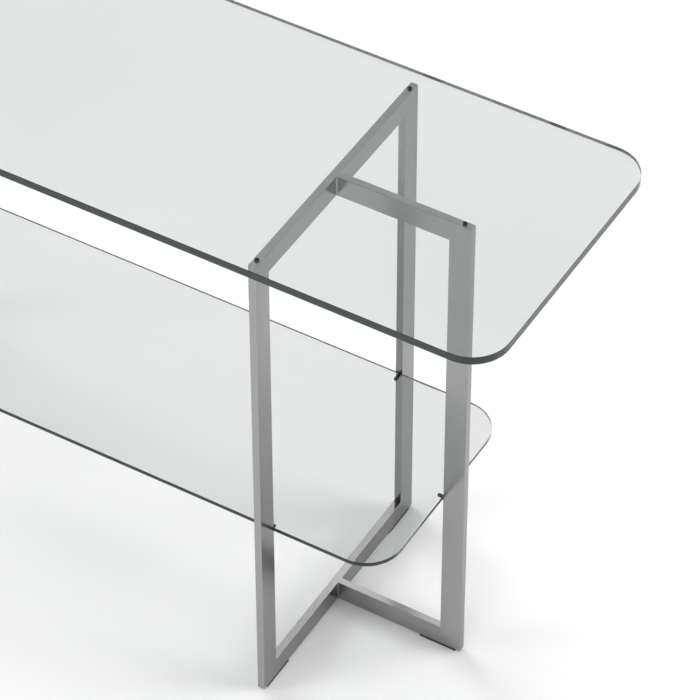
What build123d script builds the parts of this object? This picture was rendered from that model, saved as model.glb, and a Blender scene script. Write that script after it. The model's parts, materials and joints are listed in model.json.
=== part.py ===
from build123d import *
import os

# Glass console table: a top sheet and a lower shelf sheet on a pair of welded flat-bar bases.
# Millimetres, +X along the table, -Y its front, +Z up. The origin is on the floor under the
# middle of the table. Each base is T-shaped in plan: a closed frame that stands across the
# table, and a three-sided bracket that runs from the middle of that frame to the table's end.

# Driving dimensions

# Top glass
top_length = 1400.0
top_depth = 410.0
top_thickness = 11.5
top_corner_radius = 50.0

# Shelf glass
shelf_thickness = 6.0
shelf_corner_radius = 50.0
shelf_height = 279.0  # floor to the shelf's upper face
shelf_side_gap = 0.7  # from the shelf to the front and back legs
shelf_end_gap = 1.0  # from the shelf to the outer legs
glass_arris = 0.4  # polished bevel along the edges of both sheets

# Flat bar bases
bar_width = 30.0
bar_thickness = 10.0
bar_edge_radius = 0.4
frame_height = 740.0  # closed frame, over its rails
bracket_reach = 185.0  # from the closed frame's outer face to the bracket's
end_overhang = 134.0  # top glass beyond the bracket's outer leg
side_overhang = 15.0  # top glass beyond the front and back legs
weld_size = 1.5  # fillet weld in the corners between an arm and its rail

# Buffers that the top glass lies on
buffer_radius = 3.0
buffer_height = 2.0
buffer_edge_radius = 0.5
buffer_inset = 12.0  # from the end of the bar to the buffer's centre
stem_radius = 1.5
stem_length = 5.0

# Pegs that the shelf glass lies on: a steel pin in a rubber sleeve
pin_radius = 1.5
pin_seat = 8.0  # length in the leg
pin_reach = 8.5  # length beyond the leg's face
pin_chamfer = 0.3
sleeve_wall = 1.0
sleeve_cap = 1.5  # rubber beyond the pin's tip
sleeve_edge_radius = 0.6

# Drilled holes for stems and pins
hole_clearance = 0.05  # all round
hole_bottom_gap = 0.5  # beyond the stem or the pin

# Foot pads
foot_pad_length = 54.0
foot_pad_thickness = 3.0
foot_pad_inset = 7.0  # from the end of the bar to the pad
foot_pad_corner_radius = 1.5

# Levels above the floor
frame_bottom = foot_pad_thickness
frame_top = frame_bottom + frame_height
top_underside = frame_top + buffer_height
shelf_underside = shelf_height - shelf_thickness
sleeve_radius = pin_radius + sleeve_wall
peg_level = shelf_underside - sleeve_radius

# Distances from the middle of the table, along X and along Y
bracket_outer_x = top_length / 2 - end_overhang
bracket_inner_x = bracket_outer_x - bar_width
frame_outer_x = bracket_outer_x - bracket_reach
frame_mid_x = frame_outer_x - bar_thickness / 2
frame_outer_y = top_depth / 2 - side_overhang
frame_inner_y = frame_outer_y - bar_width

shelf_length = 2 * (bracket_inner_x - shelf_end_gap)
shelf_depth = 2 * (frame_inner_y - shelf_side_gap)

UP = Vector(0, 0, 1)
DOWN = Vector(0, 0, -1)
SIDES = {"left": -1, "right": 1}
ENDS = {"front": -1, "back": 1}


def save(piece, name):
    """Labels a finished piece and writes its STEP file."""
    piece.part.label = name
    export_step(piece.part, f"parts/{name}.step")


def flat_bar(start, end, inward, mitred_start=True):
    """Flat bar with its outer edge from start to end, mitred to meet the next bar of its frame."""
    run = (end - start).normalized()
    with BuildPart() as bar:
        with BuildSketch(Plane(origin=start + inward * (bar_width / 2), x_dir=inward, z_dir=run)):
            Rectangle(bar_width, bar_thickness)
        extrude(amount=(end - start).length)
        fillet(bar.edges().filter_by(Axis(start, run)), bar_edge_radius)
        split(bisect_by=Plane(origin=end, z_dir=-(run + inward)), keep=Keep.TOP)
        if mitred_start:
            split(bisect_by=Plane(origin=start, z_dir=run - inward), keep=Keep.TOP)
    return bar.part


def glass_sheet(name, length, depth, thickness, corner_radius, underside):
    """Sheet with rounded corners and a polished bevel along both edges."""
    with BuildPart() as sheet:
        with BuildSketch(Plane.XY.offset(underside)):
            RectangleRounded(length, depth, corner_radius)
        extrude(amount=thickness)
        rims = sheet.faces().filter_by(Axis.Z).edges()
        chamfer(rims, glass_arris)
    save(sheet, name)


def leg(name, foot, inward, peg_seat):
    """Upright bar of a base, drilled in its inner face for a shelf pin."""
    bar = flat_bar(foot, foot + UP * frame_height, inward)
    with BuildPart() as upright:
        add(bar)
        with Locations(peg_seat):
            Hole(pin_radius + hole_clearance, depth=pin_seat + hole_bottom_gap)
    save(upright, name)


def drill_for_stem(seat):
    """Drills the part in hand for the stem of a buffer."""
    with Locations(seat):
        Hole(stem_radius + hole_clearance, depth=stem_length + hole_bottom_gap)


def rail(name, side, level, inward, buffer_seats):
    """Bar across the table that joins the front and back legs at their ends."""
    corner = Vector(side * frame_mid_x, frame_outer_y, level)
    bar = flat_bar(Vector(corner.X, -corner.Y, level), corner, inward)
    middle = Vector(side * (frame_outer_x - bar_edge_radius / 2), 0, level) + inward * (bar_width / 2)
    with BuildPart() as crosspiece:
        add(bar)
        # Ground weld: the rail's edges stay square where the arm meets it.
        with Locations(middle):
            Box(bar_edge_radius, bar_thickness - 2 * bar_edge_radius, bar_width)
        for seat in buffer_seats:
            drill_for_stem(seat)
    save(crosspiece, name)


def arm(name, side, level, inward, buffer_seats):
    """Bar from the middle of a rail to the outer leg, with its fillet welds at the rail."""
    root = Vector(side * frame_outer_x, 0, level)
    bar = flat_bar(root, Vector(side * bracket_outer_x, 0, level), inward, mitred_start=False)
    weld_bottom = min(level, level + inward.Z * bar_width) + bar_edge_radius
    throat = weld_size * 0.35
    with BuildPart() as bracket_arm:
        add(bar)
        for face in (-1, 1):
            corner = Vector(root.X, face * bar_thickness / 2)
            along_arm = corner + Vector(side * weld_size, 0)
            along_rail = corner + Vector(0, face * weld_size)
            with BuildSketch(Plane.XY.offset(weld_bottom)):
                with BuildLine():
                    Line(corner, along_arm)
                    ThreePointArc(along_arm, corner + Vector(side * throat, face * throat), along_rail)
                    Line(along_rail, corner)
                make_face()
            extrude(amount=bar_width - 2 * bar_edge_radius)
        for seat in buffer_seats:
            drill_for_stem(seat)
    save(bracket_arm, name)


def buffer(name, seat):
    """Round rubber buffer on top of a bar, with a stem that holds it there."""
    with BuildPart() as pad:
        with BuildSketch(seat):
            Circle(buffer_radius)
        extrude(amount=buffer_height)
        fillet(pad.edges().sort_by(Axis.Z)[-1], buffer_edge_radius)
        with BuildSketch(seat):
            Circle(stem_radius)
        extrude(amount=-stem_length)
    save(pad, name)


def shelf_pin(name, seat):
    """Steel pin, pressed into a leg and reaching in under the shelf."""
    with BuildPart() as pin:
        with BuildSketch(seat.offset(-pin_seat)):
            Circle(pin_radius)
        extrude(amount=pin_seat + pin_reach)
        chamfer(pin.edges().filter_by(GeomType.CIRCLE), pin_chamfer)
    save(pin, name)


def pin_sleeve(name, seat):
    """Rubber sleeve with a closed tip, pushed over a shelf pin up to the leg."""
    with BuildPart() as sleeve:
        with BuildSketch(seat):
            Circle(sleeve_radius)
        extrude(amount=pin_reach + hole_clearance + sleeve_cap)
        tip = sleeve.edges().sort_by(Axis(seat.origin, seat.z_dir))[-1]
        fillet(tip, sleeve_edge_radius)
        with Locations(Plane(origin=seat.origin, z_dir=-seat.z_dir)):
            Hole(pin_radius + hole_clearance, depth=pin_reach + hole_clearance)
    save(sleeve, name)


def foot_pad(name, bar_end, inward):
    """Flat rubber strip under a bar, as wide as the bar and a little in from its end."""
    middle = bar_end + inward * (foot_pad_inset + foot_pad_length / 2)
    with BuildPart() as pad:
        with BuildSketch(Plane(origin=middle, x_dir=inward, z_dir=UP)):
            RectangleRounded(foot_pad_length, bar_thickness, foot_pad_corner_radius)
        extrude(amount=foot_pad_thickness)
    save(pad, name)


def base(side_name, side):
    """Every piece of one base, with the buffers, pegs and foot pads that belong to it."""
    # Inward directions along the two horizontal runs of bar
    inward_y = {end: Vector(0, -way, 0) for end, way in ENDS.items()}
    inward_x = Vector(-side, 0, 0)

    # Where each leg stands: its outer edge, at the bar's mid-thickness
    feet = {end: Vector(side * frame_mid_x, way * frame_outer_y, 0) for end, way in ENDS.items()}
    feet["outer"] = Vector(side * bracket_outer_x, 0, 0)
    inward = {**inward_y, "outer": inward_x}

    buffer_seats = {}
    for leg_name, foot in feet.items():
        into = inward[leg_name]
        peg_seat = Plane(origin=foot + into * bar_width + UP * peg_level, z_dir=into)
        buffer_seats[leg_name] = Plane(origin=foot + into * buffer_inset + UP * frame_top)
        leg(f"{side_name}_{leg_name}_leg", foot + UP * frame_bottom, into, peg_seat)
        shelf_pin(f"{side_name}_{leg_name}_shelf_pin", peg_seat)
        pin_sleeve(f"{side_name}_{leg_name}_pin_sleeve", peg_seat)
        buffer(f"{side_name}_{leg_name}_buffer", buffer_seats[leg_name])
        foot_pad(f"{side_name}_{leg_name}_foot_pad", foot, into)

    rail_buffers = [buffer_seats["front"], buffer_seats["back"]]
    rail(f"{side_name}_top_rail", side, frame_top, DOWN, rail_buffers)
    rail(f"{side_name}_bottom_rail", side, frame_bottom, UP, [])
    arm(f"{side_name}_top_arm", side, frame_top, DOWN, [buffer_seats["outer"]])
    arm(f"{side_name}_bottom_arm", side, frame_bottom, UP, [])


os.makedirs("parts", exist_ok=True)
glass_sheet("top_glass", top_length, top_depth, top_thickness, top_corner_radius, top_underside)
glass_sheet("shelf_glass", shelf_length, shelf_depth, shelf_thickness, shelf_corner_radius, shelf_underside)
for side_name, side in SIDES.items():
    base(side_name, side)
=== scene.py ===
import json
import math

import bpy
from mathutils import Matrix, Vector


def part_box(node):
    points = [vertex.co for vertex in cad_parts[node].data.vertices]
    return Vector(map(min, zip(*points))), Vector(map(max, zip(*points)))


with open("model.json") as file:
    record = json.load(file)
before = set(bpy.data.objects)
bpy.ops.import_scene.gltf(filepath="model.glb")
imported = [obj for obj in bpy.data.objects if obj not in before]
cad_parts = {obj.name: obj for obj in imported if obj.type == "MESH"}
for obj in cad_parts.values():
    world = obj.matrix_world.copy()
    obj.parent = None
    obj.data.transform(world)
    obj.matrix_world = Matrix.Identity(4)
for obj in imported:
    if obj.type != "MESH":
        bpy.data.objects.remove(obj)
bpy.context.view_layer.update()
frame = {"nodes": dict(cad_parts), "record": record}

# Glass console table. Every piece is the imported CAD's own solid, because the real one is all
# sheet glass, flat bar and small turned or moulded pieces. This script gives each its material,
# and makes the floor, the light and the camera. Lengths are in metres, angles in degrees.

scene = bpy.context.scene
scene.view_settings.view_transform = "Standard"

# A path may cross the faces of both sheets several times, with the floor or a bar in between.
LONGEST_PATH = 40
scene.cycles.max_bounces = LONGEST_PATH
scene.cycles.glossy_bounces = LONGEST_PATH
scene.cycles.transmission_bounces = LONGEST_PATH

BLACK = (0.0, 0.0, 0.0)
WHITE = (1.0, 1.0, 1.0)


# Node helpers

# Places of a colour Mix node's sockets, whose names it shares with its other kinds of value
MIX_FIRST, MIX_SECOND, MIX_RESULT = 6, 7, 2


def opaque(colour):
    """A colour as a socket takes it, with its alpha."""
    return (*colour, 1.0)


def grey(value):
    return (value, value, value)


class Nodes:
    """The node tree of a new material or of the world, with short calls to add to it."""

    def __init__(self, owner):
        owner.use_nodes = True
        self.owner = owner
        self.tree = owner.node_tree
        self.tree.nodes.clear()

    def add(self, kind, **settings):
        """A node with these inputs and properties; an input may be a number, a colour or a socket."""
        node = self.tree.nodes.new("ShaderNode" + kind)
        for name, value in settings.items():
            socket_name = name.replace("_", " ")
            if hasattr(node, name):
                setattr(node, name, value)
            elif isinstance(value, bpy.types.NodeSocket):
                self.link(value, node.inputs[socket_name])
            else:
                node.inputs[socket_name].default_value = value
        return node

    def link(self, source, target):
        self.tree.links.new(source, target)

    def math(self, operation, *values):
        """The output of a Math node."""
        node = self.add("Math", operation=operation)
        for socket, value in zip(node.inputs, values):
            if isinstance(value, bpy.types.NodeSocket):
                self.link(value, socket)
            else:
                socket.default_value = value
        return node.outputs[0]

    def place(self, scale):
        """Object coordinates, which are the part's own frame, stretched by a scale per axis."""
        coordinates = self.add("TexCoord").outputs["Object"]
        return self.add("Mapping", Scale=scale, Vector=coordinates).outputs[0]

    def noise(self, scale, detail=2.0, roughness=0.5):
        """Noise with this many cells to the metre along each axis."""
        return self.add("TexNoise", Vector=self.place(scale), Scale=1.0, Detail=detail,
                        Roughness=roughness).outputs["Fac"]

    def span(self, value, low, high, at=(0.0, 1.0)):
        """Maps a value from the range at to the range from low to high."""
        return self.add("MapRange", Value=value, From_Min=at[0], From_Max=at[1],
                        To_Min=low, To_Max=high).outputs["Result"]

    def blend(self, factor, first, second):
        """A colour between two."""
        node = self.add("Mix", data_type="RGBA", Factor=factor)
        node.inputs[MIX_FIRST].default_value = opaque(first)
        node.inputs[MIX_SECOND].default_value = opaque(second)
        return node.outputs[MIX_RESULT]

    def output(self, kind, surface, volume=None):
        out = self.add(kind, Surface=surface)
        if volume is not None:
            self.link(volume, out.inputs["Volume"])


def new_material(name):
    return Nodes(bpy.data.materials.new(name))


# Materials

def steel(name, along):
    """Satin polished flat bar. The grain of the belt runs along the bar, which lies along one axis."""
    n = new_material(name)
    grain = n.noise([18.0 if axis == along else 4200.0 for axis in "XYZ"], detail=3.0)
    cloud = n.noise([2.0 if axis == along else 45.0 for axis in "XYZ"])
    bump = n.add("Bump", Strength=0.05, Distance=0.00002, Height=grain)
    both = n.math("ADD", n.math("MULTIPLY", grain, 0.6), n.math("MULTIPLY", cloud, 0.4))
    metal = n.add("BsdfPrincipled", Metallic=1.0,
                  Base_Color=n.blend(both, (0.338, 0.339, 0.34), (0.358, 0.359, 0.36)),
                  Specular_Tint=opaque(grey(0.78)),
                  Roughness=n.span(both, 0.20, 0.27, at=(0.3, 0.7)), Normal=bump.outputs[0])
    n.output("OutputMaterial", metal.outputs[0])
    return n.owner


def turned_steel(name):
    """Bright turned pin, with the fine marks of the tool."""
    n = new_material(name)
    marks = n.noise(grey(1500.0))
    bump = n.add("Bump", Strength=0.2, Distance=0.00002, Height=marks)
    metal = n.add("BsdfPrincipled", Metallic=1.0, Base_Color=n.blend(marks, grey(0.3), grey(0.36)),
                  Roughness=n.span(marks, 0.22, 0.36), Normal=bump.outputs[0])
    n.output("OutputMaterial", metal.outputs[0])
    return n.owner


def rubber(name, smoothest, roughest, tooth_scale):
    """Moulded or sheet rubber: nearly black, with a fine tooth."""
    n = new_material(name)
    tooth = n.noise(grey(tooth_scale), detail=3.0, roughness=0.6)
    bump = n.add("Bump", Strength=0.3, Distance=0.00005, Height=tooth)
    skin = n.add("BsdfPrincipled", Base_Color=n.blend(tooth, grey(0.006), grey(0.014)),
                 Specular_IOR_Level=0.2, Roughness=n.span(tooth, smoothest, roughest, at=(0.3, 0.7)),
                 Normal=bump.outputs[0])
    n.output("OutputMaterial", skin.outputs[0])
    return n.owner


def glass(name, rim, through):
    """Clear float glass with a faint grey-green cast. Its bevels are polished and its upright edges
    ground. rim is a dark tone on the upright edges, painted shade for the light trapped in them, and
    through is how much of them stays clear."""
    n = new_material(name)
    # 0 on the two faces and the bevels, 1 on the upright edges, which take the painted shade of the
    # rim tone
    normal = n.add("SeparateXYZ", Vector=n.add("NewGeometry").outputs["Normal"])
    edge = n.span(n.math("ABSOLUTE", normal.outputs["Z"]), 1.0, 0.0, at=(0.3, 0.6))
    grind = n.noise((60.0, 60.0, 5000.0))
    bump = n.add("Bump", Distance=0.000004, Height=grind, Strength=n.math("MULTIPLY", edge, 0.15))
    # The upright edges take the dark rim tone: painted shade for light trapped in the edge, over their
    # ground finish.
    clear = n.add("BsdfPrincipled", Base_Color=n.blend(edge, (0.79, 0.792, 0.791), rim),
                  Roughness=0.0, IOR=1.52, Specular_Tint=opaque(BLACK),
                  Transmission_Weight=n.span(edge, 1.0, through), Normal=bump.outputs[0])
    # Lamps light what is under the glass, through the tint of each face.
    lit = n.add("BsdfTransparent", Color=(0.82, 0.822, 0.821, 1.0))
    mix = n.add("MixShader")
    n.link(n.add("LightPath").outputs["Is Shadow Ray"], mix.inputs[0])
    n.link(clear.outputs[0], mix.inputs[1])
    n.link(lit.outputs[0], mix.inputs[2])
    body = n.add("VolumeAbsorption", Color=(0.12, 0.38, 0.29, 1.0), Density=7.0)
    n.output("OutputMaterial", mix.outputs[0], body.outputs[0])
    return n.owner


STEEL = {axis: steel(f"satin_steel_{axis.lower()}", axis) for axis in "XYZ"}
SHEETS = {
    # Each sheet's rim is painted shade on its upright edges, darker on the shelf, whose edges let no
    # light through.
    "top_glass": glass("clear_glass_top", rim=(0.078, 0.096, 0.087), through=0.15),
    "shelf_glass": glass("clear_glass_shelf", rim=(0.055, 0.07, 0.063), through=0.0),
}
BY_SLOT = {
    "pin_steel": turned_steel("turned_steel"),
    "black_rubber": rubber("moulded_rubber", smoothest=0.38, roughest=0.6, tooth_scale=900.0),
    "foot_rubber": rubber("sheet_rubber", smoothest=0.6, roughest=0.85, tooth_scale=1400.0),
}


def longest_axis(node):
    low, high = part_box(node)
    sides = high - low
    return "XYZ"[max(range(3), key=lambda axis: sides[axis])]


def material_of(node, slot):
    """The material of a piece. Each sheet of glass has its own, and bars that lie alike share one."""
    if slot == "clear_glass":
        return SHEETS[node]
    if slot == "satin_steel":
        return STEEL[longest_axis(node)]
    return BY_SLOT[slot]


for piece in frame["record"]["subparts"]:
    material = material_of(piece["node"], piece["material_slot"])
    for place in frame["nodes"][piece["node"]].material_slots:
        place.material = material


# Floor

FLOOR_RADIUS = 40.0


def floor_material(name):
    """White matt studio floor."""
    n = new_material(name)
    mottle = n.noise(grey(0.8), detail=1.0)
    matt = n.add("BsdfDiffuse", Color=n.blend(mottle, grey(0.955), grey(0.965)))
    n.output("OutputMaterial", matt.outputs[0])
    return n.owner


bpy.ops.mesh.primitive_circle_add(vertices=96, radius=FLOOR_RADIUS, fill_type="NGON")
floor = bpy.context.object
floor.name = "studio_floor"
floor.data.materials.append(floor_material("studio_floor"))


# World: large soft lights over and around the table in a dark studio. A ray that has met
# nothing but glass sees plain white, and a mirrored one a pale band along the horizon.

# Azimuth, elevation, strength and reach of each. The level faces mirror the three that start
# with back towards the front of the table, so these are smaller and set close together.
SOFT_LIGHTS = {
    "overhead": (0.0, 88.0, 3.1, 22.0),
    "front": (280.0, 44.0, 3.2, 22.0),
    "right_back": (40.0, 44.0, 1.6, 22.0),
    "left_back": (160.0, 44.0, 0.5, 22.0),
    "high_back": (120.0, 66.0, 0.5, 22.0),
    "high_left": (180.0, 66.0, 0.25, 22.0),
    "back_left": (138.0, 45.0, 0.5, 14.0),
    "back_upper": (120.0, 48.0, 1.15, 11.0),
    "back_lower": (120.0, 42.0, 0.85, 11.0),
    "low_back": (60.0, 22.0, 0.2, 20.0),
}
FULL_SHARE = 0.18  # of a soft light's reach, within which it is at its full strength

# The pale band: its strength, and the heights of a unit ray at which it starts to fade and ends
BAND_STRENGTH = 0.95
BAND_FADE = (0.15, 0.42)

world = bpy.data.worlds.new("studio")
scene.world = world
w = Nodes(world)


def direction(azimuth, elevation):
    """Unit vector at an azimuth from +X towards +Y and an elevation."""
    a, e = math.radians(azimuth), math.radians(elevation)
    return Vector((math.cos(a) * math.cos(e), math.sin(a) * math.cos(e), math.sin(e)))


def glow(ray, azimuth, elevation, strength, reach):
    """A round soft light in the sky. It's full around its middle and fades out at its reach."""
    facing = w.add("VectorMath", operation="DOT_PRODUCT")
    w.link(ray, facing.inputs[0])
    facing.inputs[1].default_value = direction(azimuth, elevation)
    rim = math.cos(math.radians(reach))
    core = math.cos(math.radians(reach * FULL_SHARE))
    return w.span(facing.outputs["Value"], 0.0, strength, at=(rim, core))


ray = w.add("TexCoord").outputs["Generated"]
path = w.add("LightPath").outputs
height = w.add("SeparateXYZ", Vector=ray).outputs["Z"]
band = w.span(height, BAND_STRENGTH, 0.0, at=BAND_FADE)
studio = w.math("MULTIPLY", band, path["Is Glossy Ray"])
for soft_light in SOFT_LIGHTS.values():
    studio = w.math("ADD", studio, glow(ray, *soft_light))
clear_path = w.math("COMPARE", path["Ray Depth"], path["Transmission Depth"], 0.5)
strength = w.math("MAXIMUM", clear_path, studio)
sky = w.add("Background", Color=opaque(WHITE), Strength=strength)
w.output("OutputWorld", sky.outputs[0])
world.cycles.sampling_method = "NONE"


# Lamps: three softboxes a long way off, low around the table

def softbox(name, azimuth, elevation, share, spread):
    """A disc of light, spread degrees across. share is what it adds to the white of the floor."""
    data = bpy.data.lights.new(name, "SUN")
    data.angle = math.radians(spread)
    data.energy = share * math.pi / math.sin(math.radians(elevation))
    lamp = bpy.data.objects.new(name, data)
    lamp.rotation_mode = "QUATERNION"
    lamp.rotation_quaternion = direction(azimuth, elevation).to_track_quat("Z", "Y")
    lamp.visible_transmission = False
    scene.collection.objects.link(lamp)


softbox("softbox_right", azimuth=27.0, elevation=21.0, share=0.2, spread=38.0)
softbox("softbox_back", azimuth=160.0, elevation=30.0, share=0.24, spread=35.0)
softbox("softbox_left", azimuth=222.0, elevation=19.0, share=0.1, spread=24.0)


# Camera, turned from a view square to the front and tipped down at its aim

AIM = Vector((0.3965, 0.0004, 0.4632))
TURN = 30.62
ELEVATION = 44.31
DISTANCE = 5.007
LENS_MM = 207.7
SENSOR_MM = 36.0

camera_data = bpy.data.cameras.new("camera")
camera_data.lens = LENS_MM
camera_data.sensor_width = SENSOR_MM
camera = bpy.data.objects.new("camera", camera_data)
camera.location = AIM + direction(TURN - 90.0, ELEVATION) * DISTANCE
camera.rotation_euler = (math.radians(90.0 - ELEVATION), 0.0, math.radians(TURN))
scene.collection.objects.link(camera)
scene.camera = camera
